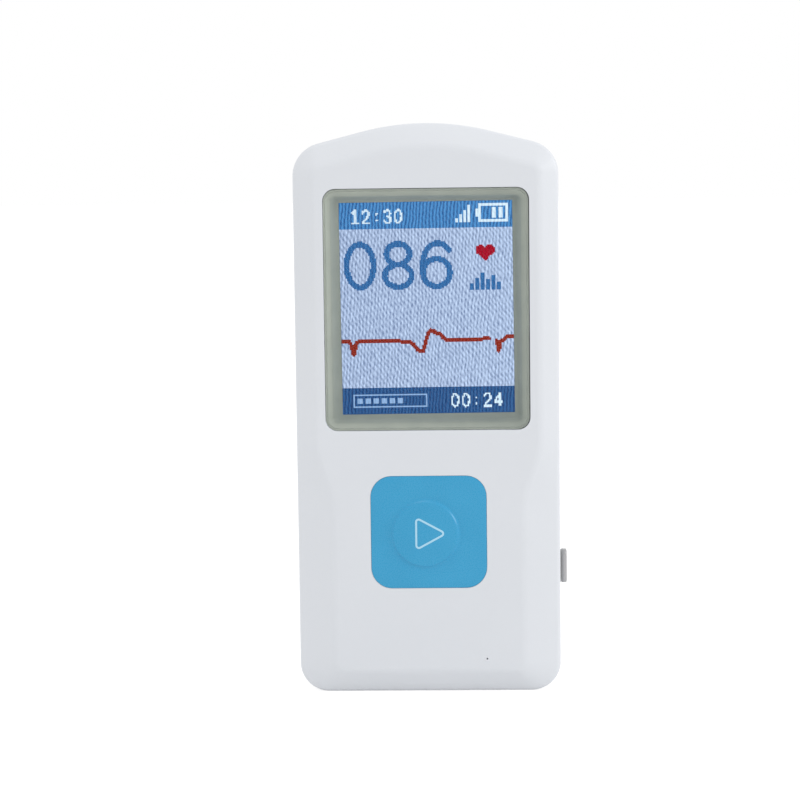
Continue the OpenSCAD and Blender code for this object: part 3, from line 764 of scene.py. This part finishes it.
def make_rear_cover():
    inner_r, bite, stud_gap = BACK_EDGE_R - WALL, 0.2, 0.1
    shell = skin(
        [back_ring(WALL, inner_r, 90 * (1 - t)) for t in shares(6, True)]
        + [
            facing_front(case_outline(WALL), SEAM_Y - TONGUE_L),
            facing_front(case_outline(TONGUE_OUT), SEAM_Y - TONGUE_L),
            facing_front(case_outline(TONGUE_OUT), SEAM_Y),
            facing_front(case_outline(SEAM_GROOVE), SEAM_Y),
            facing_front(case_line, SEAM_Y + SEAM_GROOVE_L),
        ]
        + [back_ring(0, BACK_EDGE_R, 90 * t) for t in shares(14, True)]
    )
    posts = [rod(at, REAR_POST_R, SEAM_Y, INNER_BACK_Y + bite) for at in CASE_SCREWS]
    sinks = [
        mouth(lambda g, at=at: circle(SINK_R + g, at), facing_front, SINK_FLOOR_Y, BACK_Y, 1,
              SINK_RIM)
        for at in CASE_SCREWS
    ]
    shafts = [rod(at, CLEAR_R, SEAM_Y - PAST, SINK_FLOOR_Y + PAST) for at in CASE_SCREWS]
    recesses, studs = [], []
    for node in ("lower_electrode", "upper_electrode"):
        recesses.append(mouth(lambda g, node=node: plate_outline(node, PLATE_GAP + g),
                              facing_front, BACK_Y - PLATE_T, BACK_Y, 1, PLATE_RIM))
        studs += [rod((x, middle(node).z), STUD_R + stud_gap, INNER_BACK_Y - PAST, BACK_Y - 0.3)
                  for x in (-STUD_SPREAD, STUD_SPREAD)]
    strip = mouth(lambda g: strip_outline(STRIP_GAP + g),
                  facing_side, STRIP_T - CASE_W / 2, -CASE_W / 2, -1, STRIP_RIM)
    strip_stud = prism(facing_side, circle(STRIP_STUD_R + stud_gap / 2, STRIP_AT), 0.3 - CASE_W / 2,
                       WALL + PAST - CASE_W / 2)
    return carve(
        solid("rear_shell", shell),
        ("UNION", posts),
        ("DIFFERENCE", sinks),
        ("DIFFERENCE", shafts),
        ("DIFFERENCE", recesses),
        ("DIFFERENCE", studs),
        ("DIFFERENCE", [strip]),
        ("DIFFERENCE", [strip_stud]),
        ("DIFFERENCE", [socket_slot()]),
    )


front_shell = dress(shade(make_front_cover()), white_plastic)
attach(front_shell, "case")
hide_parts("front_cover")

rear_shell = dress(shade(make_rear_cover()), white_plastic)
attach(rear_shell, "case")
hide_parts("rear_cover")


# ---------------- window and mask

def pane_outline(grow):
    return rounded_rect(WINDOW_W + 2 * grow, WINDOW_H + 2 * grow, WINDOW_R + grow, (0, WINDOW_Z))


# The pane is thin along its edge, where its back is chamfered over the sloping border
BORDER_W = 1.1
PANE_EDGE_Y = lens_low.y + 0.26
PANE_ROUND_R = 0.08

pane = solid("window_pane", skin(
    [facing_front(pane_outline(-BORDER_W), lens_high.y), facing_front(pane_outline(0), PANE_EDGE_Y)]
    + rounded_edge(pane_outline, facing_front, lens_low.y, -1, PANE_ROUND_R)
))
dress(shade(pane, 20), window_clear)
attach(pane, "case")
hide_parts("window_lens")


def turned(outline):
    """An outline about the middle of the window, moved and turned as the display is."""
    cosine, sine = math.cos(PICTURE_TURN), math.sin(PICTURE_TURN)
    return [(PICTURE_AT[0] + x * cosine - z * sine, PICTURE_AT[1] + x * sine + z * cosine)
            for x, z in outline]


def make_border():
    """The glued border: it fills the pane's chamfer, so that its face slopes inwards, and a groove
    runs round its outer edge."""
    gap, groove, groove_w = 0.02, 0.25, 0.4
    inner, edge_y = BORDER_W - gap, PANE_EDGE_Y + gap
    rings = [facing_front(pane_outline(0), mask_low.y)]
    for inset in [groove_w * t for t in shares(6, True)] + [inner]:
        slope_y = edge_y + (lens_high.y - edge_y) * inset / inner
        dip = groove * max(0, 1 - (inset / groove_w) ** 2)
        rings.append(facing_front(pane_outline(-inset), slope_y + dip))
    rings.append(facing_front(pane_outline(-inner), mask_low.y))
    return solid("window_border", skin(rings, ends=False))


def make_mask():
    """A frame whose inner side falls from the border to the display's edges."""
    flange_w, flange_h = mask_high.x - mask_low.x, mask_high.z - mask_low.z
    flange_y, gap, corner_r, fall = INNER_FACE_Y + 0.05, 0.02, 0.12, 1.2
    flange = rounded_rect(flange_w, flange_h, WINDOW_R, (0, WINDOW_Z))
    start = pane_outline(-BORDER_W)
    end = turned(rounded_rect(PICTURE_W + 2 * PICTURE_GAP, PICTURE_H + 2 * PICTURE_GAP, corner_r))
    rings = [facing_front(flange, GLASS_Y), facing_front(flange, flange_y),
             facing_front(pane_outline(-gap), flange_y), facing_front(pane_outline(-gap), mask_low.y)]
    for t in shares(12, True):
        y = mask_low.y + (GLASS_Y - mask_low.y) * math.sin(math.radians(90) * t) ** fall
        rings.append([(x + (ex - x) * t, y, z + (ez - z) * t) for (x, z), (ex, ez) in zip(start, end)])
    return solid("picture_mask", skin(rings, ends=False))


for piece, node in ((make_border(), "lens_adhesive"), (make_mask(), "display_mask")):
    dress(shade(piece, 50), mask_grey)
    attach(piece, "case")
    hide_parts(node)


# ---------------- picture on the display

COLUMNS, ROWS = 128, 160
PICTURE_T = 0.04
BAR_H = 20
LINE_W = 1.5
DIGIT_W = 4.4
TRACE_W = 3
GROUND, TOP_BAR, FOOT_BAR, BRIGHT, FIGURE, HEART, TRACE, DIM = range(8)

pixels = [[GROUND] * COLUMNS for _ in range(ROWS)]


def fill(x0, y0, x1, y1, ink, inside=lambda x, y: True):
    """Inks the pixels whose middles lie in a box, and in a shape if one is given."""
    for row in range(max(0, math.floor(y0)), min(ROWS, math.ceil(y1))):
        for column in range(max(0, math.floor(x0)), min(COLUMNS, math.ceil(x1))):
            x, y = column + 0.5, row + 0.5
            if x0 <= x <= x1 and y0 <= y <= y1 and inside(x, y):
                pixels[row][column] = ink


def stroke(points, width, ink):
    """Inks the pixels within half a width of a line through points."""
    half = width / 2
    for (ax, ay), (bx, by) in zip(points, points[1:]):
        dx, dy = bx - ax, by - ay
        length = dx * dx + dy * dy or 1

        def near(x, y):
            t = min(max(((x - ax) * dx + (y - ay) * dy) / length, 0), 1)
            return math.hypot(x - ax - t * dx, y - ay - t * dy) <= half

        fill(min(ax, bx) - half, min(ay, by) - half, max(ax, bx) + half, max(ay, by) + half,
             ink, near)


def bow(cx, cy, rx, ry, first, last):
    """Part of an ellipse; its angles, in degrees, turn clockwise from the right."""
    return [(cx + rx * x, cy + ry * y) for x, y in arc((0, 0), 1, first, last, 24, True)]


# Each figure's strokes in a box one wide and one high, with y running down
FIGURES = {
    "0": [bow(0.5, 0.5, 0.5, 0.5, 0, 360)],
    "1": [[(0.15, 0.2), (0.55, 0)], [(0.55, 0), (0.55, 1)], [(0.15, 1), (0.95, 1)]],
    "2": [bow(0.5, 0.28, 0.46, 0.28, 190, 385) + [(0.03, 1), (1, 1)]],
    "3": [bow(0.48, 0.25, 0.42, 0.25, 200, 450), bow(0.48, 0.74, 0.5, 0.26, 270, 520)],
    "4": [[(0.72, 1), (0.72, 0), (0, 0.68), (1, 0.68)]],
    "6": [bow(0.5, 0.68, 0.5, 0.32, 0, 360), [(0, 0.68)] + bow(0.56, 0.5, 0.56, 0.5, 180, 318)],
    "8": [bow(0.5, 0.24, 0.43, 0.24, 0, 360), bow(0.5, 0.74, 0.5, 0.26, 0, 360)],
    ":": [[(0.5, 0.28), (0.5, 0.3)], [(0.5, 0.8), (0.5, 0.82)]],
}


def write(figures, x, y, size, pitch, width, ink):
    """Draws figures in boxes of a size from an upper left corner, a pitch apart."""
    for k, figure in enumerate(figures):
        for points in FIGURES[figure]:
            placed = [(x + pitch * k + size[0] * px, y + size[1] * py) for px, py in points]
            stroke(placed, width, ink)


def in_heart(x, y):
    lobes = min(math.hypot(x - 104.4, y - 37), math.hypot(x - 111.1, y - 37)) <= 3.9
    point = y > 37 and abs(x - 107.75) <= (45.6 - y) * 0.88
    return lobes or point


def draw_picture():
    """Inks the whole picture. Places are in pixels from its upper left corner."""
    # Bar along the top: the time, the radio link's strength and the battery
    fill(0, 0, COLUMNS, BAR_H, TOP_BAR)
    write("12:30", 9.3, 6, (5, 9.5), 8, LINE_W, BRIGHT)
    for k in range(4):
        fill(86 + 3 * k, 13 - 3.2 * k, 88 + 3 * k, 16, BRIGHT)
    battery = [(104, 3), (124, 3), (124, 15), (104, 15), (104, 3)]
    stroke(battery, LINE_W, BRIGHT)
    fill(101, 6, 103, 12, BRIGHT)
    for x in (113, 118):
        fill(x, 5, x + 3, 13, BRIGHT)
    # The pulse rate, a heart, and small bars for the beat's strength
    write("086", 4.9, 31.3, (20, 32.6), 28.3, DIGIT_W, FIGURE)
    fill(99, 32, 117, 47, HEART, in_heart)
    for k, h in enumerate((5, 9, 13, 8, 11, 6)):
        fill(96 + 4 * k, 67 - h, 98.6 + 4 * k, 67, FIGURE)
    # The trace of the last beats, with a gap where the next one is drawn
    beat = [(0, 104.2), (5.7, 104.7), (7, 107), (9, 115), (11.2, 105.8), (13, 104.8), (44, 105)]
    beat += [(50.9, 105.2), (53.5, 107.6), (56.5, 111.6), (58.6, 113), (60.4, 112.6), (61.8, 109)]
    beat += [(63.4, 102.5), (64.8, 98.8), (66.7, 96.9), (68.4, 97.5), (70.6, 99.4), (73.2, 99.9)]
    beat += [(76, 103), (78.4, 104.6), (81, 104.9), (96, 104.9), (103, 104.2), (109.4, 103.6)]
    last_beat = [(115.4, 105.6), (116.7, 113.2), (118.2, 106.4), (121.2, 104.5), (123.7, 102.3),
                 (128, 102)]
    stroke(beat, TRACE_W, TRACE)
    stroke(last_beat, TRACE_W, TRACE)
    # Bar along the foot: how much of the recording is done, and its time
    fill(0, ROWS - BAR_H, COLUMNS, ROWS, FOOT_BAR)
    progress = [(8.5, 145.5), (62.5, 145.5), (62.5, 154.5), (8.5, 154.5), (8.5, 145.5)]
    stroke(progress, 1.1, DIM)
    for k in range(6):
        fill(11 + 6 * k, 148, 15 + 6 * k, 152, DIM)
    write("00:24", 81.3, 145.6, (5, 9.3), 8, 1.4, BRIGHT)


def make_picture():
    """The lit picture: a thin sheet with one face to each of the display's pixels."""
    def corners(spots, y):
        return facing_front(turned([
            ((c - COLUMNS / 2) * PICTURE_W / COLUMNS, (ROWS / 2 - r) * PICTURE_H / ROWS) for c, r in spots
        ]), y)

    points = corners([(c, r) for r in range(ROWS + 1) for c in range(COLUMNS + 1)], GLASS_Y - PICTURE_T)

    def at(column, row):
        return row * (COLUMNS + 1) + column

    faces = [(at(c, r), at(c + 1, r), at(c + 1, r + 1), at(c, r + 1))
             for r in range(ROWS) for c in range(COLUMNS)]
    rim = [(c, 0) for c in range(COLUMNS)] + [(COLUMNS, r) for r in range(ROWS)]
    rim += [(c, ROWS) for c in range(COLUMNS, 0, -1)] + [(0, r) for r in range(ROWS, 0, -1)]
    start = len(points)
    points += corners(rim, GLASS_Y)
    n = len(rim)
    faces += [(at(*rim[i]), at(*rim[(i + 1) % n]), start + (i + 1) % n, start + i) for i in range(n)]
    faces.append(tuple(range(start, start + n)))
    return solid("picture", (points, faces))


draw_picture()
picture = make_picture()
dress(
    picture,
    lit_material("lit_ground", rgb(170, 189, 223), 0.21, 0.18, 0.27),
    lit_material("lit_top_bar", rgb(69, 129, 190), 0.38, 0.08, 0.2),
    lit_material("lit_foot_bar", rgb(43, 85, 139), 0.34, 0.08, 0.2),
    lit_material("lit_bright", rgb(214, 235, 252), 0.08, 0.04, 0.06),
    lit_material("lit_figure", rgb(52, 108, 168), 0.14, 0.1, 0.1),
    lit_material("lit_heart", rgb(164, 3, 36), 0.12, 0.1, 0.1),
    lit_material("lit_trace", rgb(140, 41, 28), 0.1, 0.1, 0.1),
    lit_material("lit_dim", rgb(146, 181, 226), 0.08, 0.04, 0.06),
)
for face, ink in zip(picture.data.polygons, (ink for row in pixels for ink in row)):
    face.material_index = ink
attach(picture, "case")


# ---------------- start key

def reach(angle, w, h, r):
    """How far a rectangle with round corners reaches from its middle at an angle."""
    dx, dy = abs(math.cos(angle)), abs(math.sin(angle))
    side = w / 2 / dx if dx > 1e-9 else math.inf
    head = h / 2 / dy if dy > 1e-9 else math.inf
    if side * dy <= h / 2 - r:
        return side
    if head * dx <= w / 2 - r:
        return head
    cx, cy = w / 2 - r, h / 2 - r
    along = cx * dx + cy * dy
    return along + math.sqrt(along ** 2 - cx ** 2 - cy ** 2 + r ** 2)


def dome_rise(r):
    """How far the dome stands out at a distance from its middle: a low rim round a domed crown."""
    if r < DOME_CROWN_R:
        return DOME_RISE - (DOME_RISE - RIM_RISE) * (r / DOME_CROWN_R) ** 2
    return RIM_RISE * smooth((DOME_R - r) / DOME_RIM)


def make_membrane():
    """One film with an embossed dome: rings run out from the dome's middle to the film's edge."""
    edge, groove, groove_w = 0.08, 0.03, 0.5
    angles = [2 * math.pi * t for t in shares(160)]

    def round_ring(r, rise):
        return [(KEY_AT[0] + r * math.cos(a), FACE_Y - rise, KEY_AT[1] + r * math.sin(a)) for a in angles]

    def outer_ring(inset, depth):
        reaches = [reach(a, FILM_W - 2 * inset, FILM_H - 2 * inset, FILM_R - inset) for a in angles]
        return [(r * math.cos(a), FACE_Y + depth, FILM_Z + r * math.sin(a))
                for r, a in zip(reaches, angles)]

    def between(t):
        first, last = round_ring(DOME_R + groove_w, 0), outer_ring(edge, 0)
        return [tuple(Vector(p).lerp(Vector(q), t)) for p, q in zip(first, last)]

    rings = [round_ring(DOME_CROWN_R * t, dome_rise(DOME_CROWN_R * t)) for t in shares(12)[1:]]
    rings += [round_ring(r, dome_rise(r))
              for r in (DOME_CROWN_R + DOME_RIM * t for t in shares(10, True))]
    rings += [round_ring(DOME_R + groove_w * t, -groove * math.sin(math.pi * t) ** 2)
              for t in shares(6, True)[1:]]
    rings += [between(t) for t in (0.35, 0.7, 1)]
    rings += [outer_ring(edge * (1 - math.sin(math.radians(a))), edge * (1 - math.cos(math.radians(a))))
              for a in (30, 60, 90)]
    rings.append(outer_ring(0, FILM_BACK_Y - FACE_Y))
    return solid("key_membrane", skin(rings))


membrane = dress(shade(make_membrane()), film_blue)
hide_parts("key_film", "key_dome")
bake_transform(membrane)


def make_mark():
    """A raised triangle that points to the right, drawn as an outline with round corners."""
    corners = [(-1.66, 25), (-1.66, 28.91), (1.94, 26.95)]
    stroke_w, corner_r, rise, sunk = 0.33, 0.42, 0.03, 0.02

    def rounded(grow):
        points = []
        for k, corner in enumerate(corners):
            before, after = Vector(corners[k - 1]), Vector(corners[(k + 1) % 3])
            corner = Vector(corner)
            turn_in, turn_out = corner - before, after - corner
            first = math.degrees(math.atan2(turn_in.y, turn_in.x)) + 90
            last = math.degrees(math.atan2(turn_out.y, turn_out.x)) + 90
            if last > first:
                last -= 360
            points += arc(corner, corner_r + grow, first, last, 10, True)
        return points

    def laid(outline, lift):
        return [(x, FACE_Y - lift - dome_rise(math.hypot(x - KEY_AT[0], z - KEY_AT[1])), z)
                for x, z in outline]

    outer, inner = rounded(stroke_w / 2), rounded(-stroke_w / 2)
    rings = [laid(outer, -sunk), laid(outer, rise), laid(inner, rise), laid(inner, -sunk)]
    return solid("start_mark", skin(rings, ends=False))


mark = dress(shade(make_mark()), mark_pale)
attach(mark, "start_key")


# ---------------- side button

def make_button():
    """A cap on a flange, with a neck that leaves a shadow line between the cap and the case."""
    low, high = node_box("side_button")
    flange_r, flange_x, neck_x = 0.6, CASE_W / 2 - WALL - 0.15, CASE_W / 2 + 0.3
    side_in, end_in, chamfer, round_r = 0.3, 0.08, 0.05, 0.22
    flange = rounded_rect(high.y - low.y, high.z - low.z, flange_r, BUTTON_AT)
    w, h = BUTTON_SIZE
    neck = rounded_rect(w - 2 * side_in, h - 2 * end_in, BUTTON_R - side_in, BUTTON_AT)
    rings = [facing_side(flange, low.x), facing_side(flange, flange_x),
             facing_side(neck, flange_x), facing_side(neck, neck_x),
             facing_side(button_outline(-chamfer), neck_x),
             facing_side(button_outline(0), neck_x + chamfer)]
    rings += rounded_edge(button_outline, facing_side, high.x, 1, round_r, 8)
    return solid("side_cap", skin(rings))


button_cap = dress(shade(make_button(), 50), button_metal)
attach(button_cap, "side_key")
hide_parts("side_button")


# ---------------- electrodes

def make_rear_plate(name, node):
    low, high = node_box(node)
    rings = [facing_front(plate_outline(node, 0), BACK_Y - PLATE_T)]
    rings += rounded_edge(lambda g: plate_outline(node, g), facing_front, high.y, 1, PLATE_ROUND_R)
    studs = [rod((x, middle(node).z), STUD_R, low.y, BACK_Y - PLATE_T + PLATE_ROUND_R)
             for x in (-STUD_SPREAD, STUD_SPREAD)]
    return carve(solid(name, skin(rings)), ("UNION", studs))


def make_side_plate():
    low, high = node_box("side_electrode")
    rings = [facing_side(strip_outline(0), low.x + STRIP_T)]
    rings += rounded_edge(strip_outline, facing_side, low.x, -1, STRIP_ROUND_R)
    stud = prism(facing_side, circle(STRIP_STUD_R, STRIP_AT), low.x + STRIP_T - 0.2, high.x)
    return carve(solid("side_plate", skin(rings)), ("UNION", [stud]))


for plate, node in (
    (make_rear_plate("upper_plate", "upper_electrode"), "upper_electrode"),
    (make_rear_plate("lower_plate", "lower_electrode"), "lower_electrode"),
    (make_side_plate(), "side_electrode"),
):
    dress(shade(plate), steel_strip if node == "side_electrode" else steel_brushed)
    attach(plate, "case")
    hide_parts(node)


# ---------------- screws

def make_screws():
    """Four screws with rounded pan heads, tapered cross recesses and ridged shanks."""
    low, high = node_box("case_screws")
    head_r, round_r, shank_r, root_r, tip_r = 1.75, 0.7, 0.98, 0.82, 0.3
    tip_l, first_ridge, pitch, plain_l = 0.5, 0.8, 0.45, 0.4
    cross_l, cross_w, cross_deep, foot_share, corner_r = 1.0, 0.26, 0.75, 0.55, 0.1
    seat_y = SINK_FLOOR_Y
    skins, crosses = [], []
    for at in CASE_SCREWS:
        profile = [(tip_r, low.y), (root_r, low.y + tip_l)]
        y = low.y + first_ridge
        while y + pitch < seat_y - plain_l:
            profile += [(root_r, y), (shank_r, y + pitch / 2), (root_r, y + pitch)]
            y += pitch
        profile += [(root_r, seat_y), (head_r, seat_y)]
        for t in shares(6, True):
            a = math.radians(90 * t)
            profile.append((head_r - round_r * (1 - math.cos(a)), high.y - round_r * (1 - math.sin(a))))
        skins.append(skin([facing_front(circle(r, at, 32), y) for r, y in profile]))
        for w, h in ((cross_l, cross_w), (cross_w, cross_l)):
            crosses.append(skin([
                facing_front(rounded_rect(2 * w * s, 2 * h * s, corner_r, at, 3), y)
                for s, y in ((foot_share, high.y - cross_deep), (1, high.y + 0.1))
            ]))
    return carve(solid("cover_screws", *skins),
                 ("DIFFERENCE", crosses[0::2]), ("DIFFERENCE", crosses[1::2]))


screws = dress(shade(make_screws()), screw_steel)
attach(screws, "case")
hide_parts("case_screws")


# ---------------- finishes of the CAD's own nodes

for material, nodes in (
    (display_polariser, ("display_glass",)),
    (inner_plastic, ("display_frame", "key_plunger")),
    (foam_rubber, ("display_pad", "buzzer_gasket", "battery_pad")),
    (flex_amber, ("display_flex",)),
    (black_plastic, ("flex_connector", "start_switch_stem", "side_switch_stem", "buzzer",
                     "socket_tongue")),
    (steel_plain, ("start_switch", "side_switch", "radio_module", "clock_crystal",
                   "charging_socket", "electrode_nuts")),
    (board_green, ("main_board", "battery_board")),
    (chip_epoxy, ("processor_chip", "amplifier_chip", "memory_chip")),
    (ceramic, ("small_components",)),
    (pouch_foil, ("battery_cell",)),
    (lead_red, ("battery_leads",)),
    (ivory_nylon, ("battery_connector",)),
    (brass, ("contact_barrels", "contact_pins", "side_contact")),
    (screw_steel, ("board_screws",)),
):
    for node in nodes:
        dress(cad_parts[node], material)


# ---------------- stage and light

def white_for_camera(tree, seen, lit):
    """Mixes in what the camera, reflections and see-through surfaces see in place of what lights."""
    path = add(tree, "LightPath")
    either = calculate(tree, "MAXIMUM", path.outputs["Is Camera Ray"], path.outputs["Is Glossy Ray"])
    either = calculate(tree, "MAXIMUM", either, path.outputs["Is Transmission Ray"])
    return add(tree, "MixShader", {0: either, 1: lit, 2: seen}).outputs[0]


WORLD_LIGHT = 0.868
world = bpy.data.worlds.new("studio")
scene.world = world
world.use_nodes = True
tree = world.node_tree
lit = add(tree, "Background", {"Color": (1, 1, 1, 1), "Strength": WORLD_LIGHT})
seen = add(tree, "Background", {"Color": (1, 1, 1, 1), "Strength": 1.0})
sky = white_for_camera(tree, seen.outputs[0], lit.outputs[0])
tree.links.new(sky, tree.nodes["World Output"].inputs["Surface"])


def make_floor():
    """A pale floor that reads as white, keeps a soft shadow and isn't seen from below."""
    half = 3000
    floor = solid("floor", ([(-half, -half, 0), (half, -half, 0), (half, half, 0), (-half, half, 0)],
                            [(0, 1, 2, 3)]))
    material, tree, shader = new_material("floor_white")
    tree.nodes.remove(shader)
    grain = vary(tree, noise(tree, 30, 2), 0, 1)
    colours = mix(tree, grain, (0.84, 0.84, 0.84, 1), (0.86, 0.86, 0.86, 1))
    matte = add(tree, "BsdfDiffuse", {"Color": colours}).outputs[0]
    glow = add(tree, "Emission", {"Color": (1, 1, 1, 1), "Strength": 0.8}).outputs[0]
    veil = add(tree, "BsdfDiffuse", {"Color": (0.4, 0.4, 0.4, 1)}).outputs[0]
    seen = add(tree, "AddShader", {0: glow, 1: veil}).outputs[0]
    top = white_for_camera(tree, seen, matte)
    behind = add(tree, "NewGeometry").outputs["Backfacing"]
    clear = add(tree, "BsdfTransparent").outputs[0]
    surface = add(tree, "MixShader", {0: behind, 1: top, 2: clear}).outputs[0]
    tree.links.new(surface, tree.nodes["Material Output"].inputs["Surface"])
    return dress(floor, material)


floor = make_floor()


def lamp(name, at, width, height, watts):
    """A soft rectangular lamp that faces the middle of the case."""
    light = bpy.data.lights.new(name, "AREA")
    light.shape = "RECTANGLE"
    light.size = width * MM
    light.size_y = height * MM
    light.energy = watts
    holder = bpy.data.objects.new(name, light)
    scene.collection.objects.link(holder)
    towards = Vector((0, 0, CASE_H / 2))
    holder.location = Vector(at) * MM
    holder.rotation_euler = (towards - Vector(at)).to_track_quat("-Z", "Y").to_euler()


lamp("right_light", (800, -150, 340), 250, 250, 1.46)
lamp("top_light", (-180, -230, 840), 900, 70, 0.7)

scene.view_settings.view_transform = "Standard"
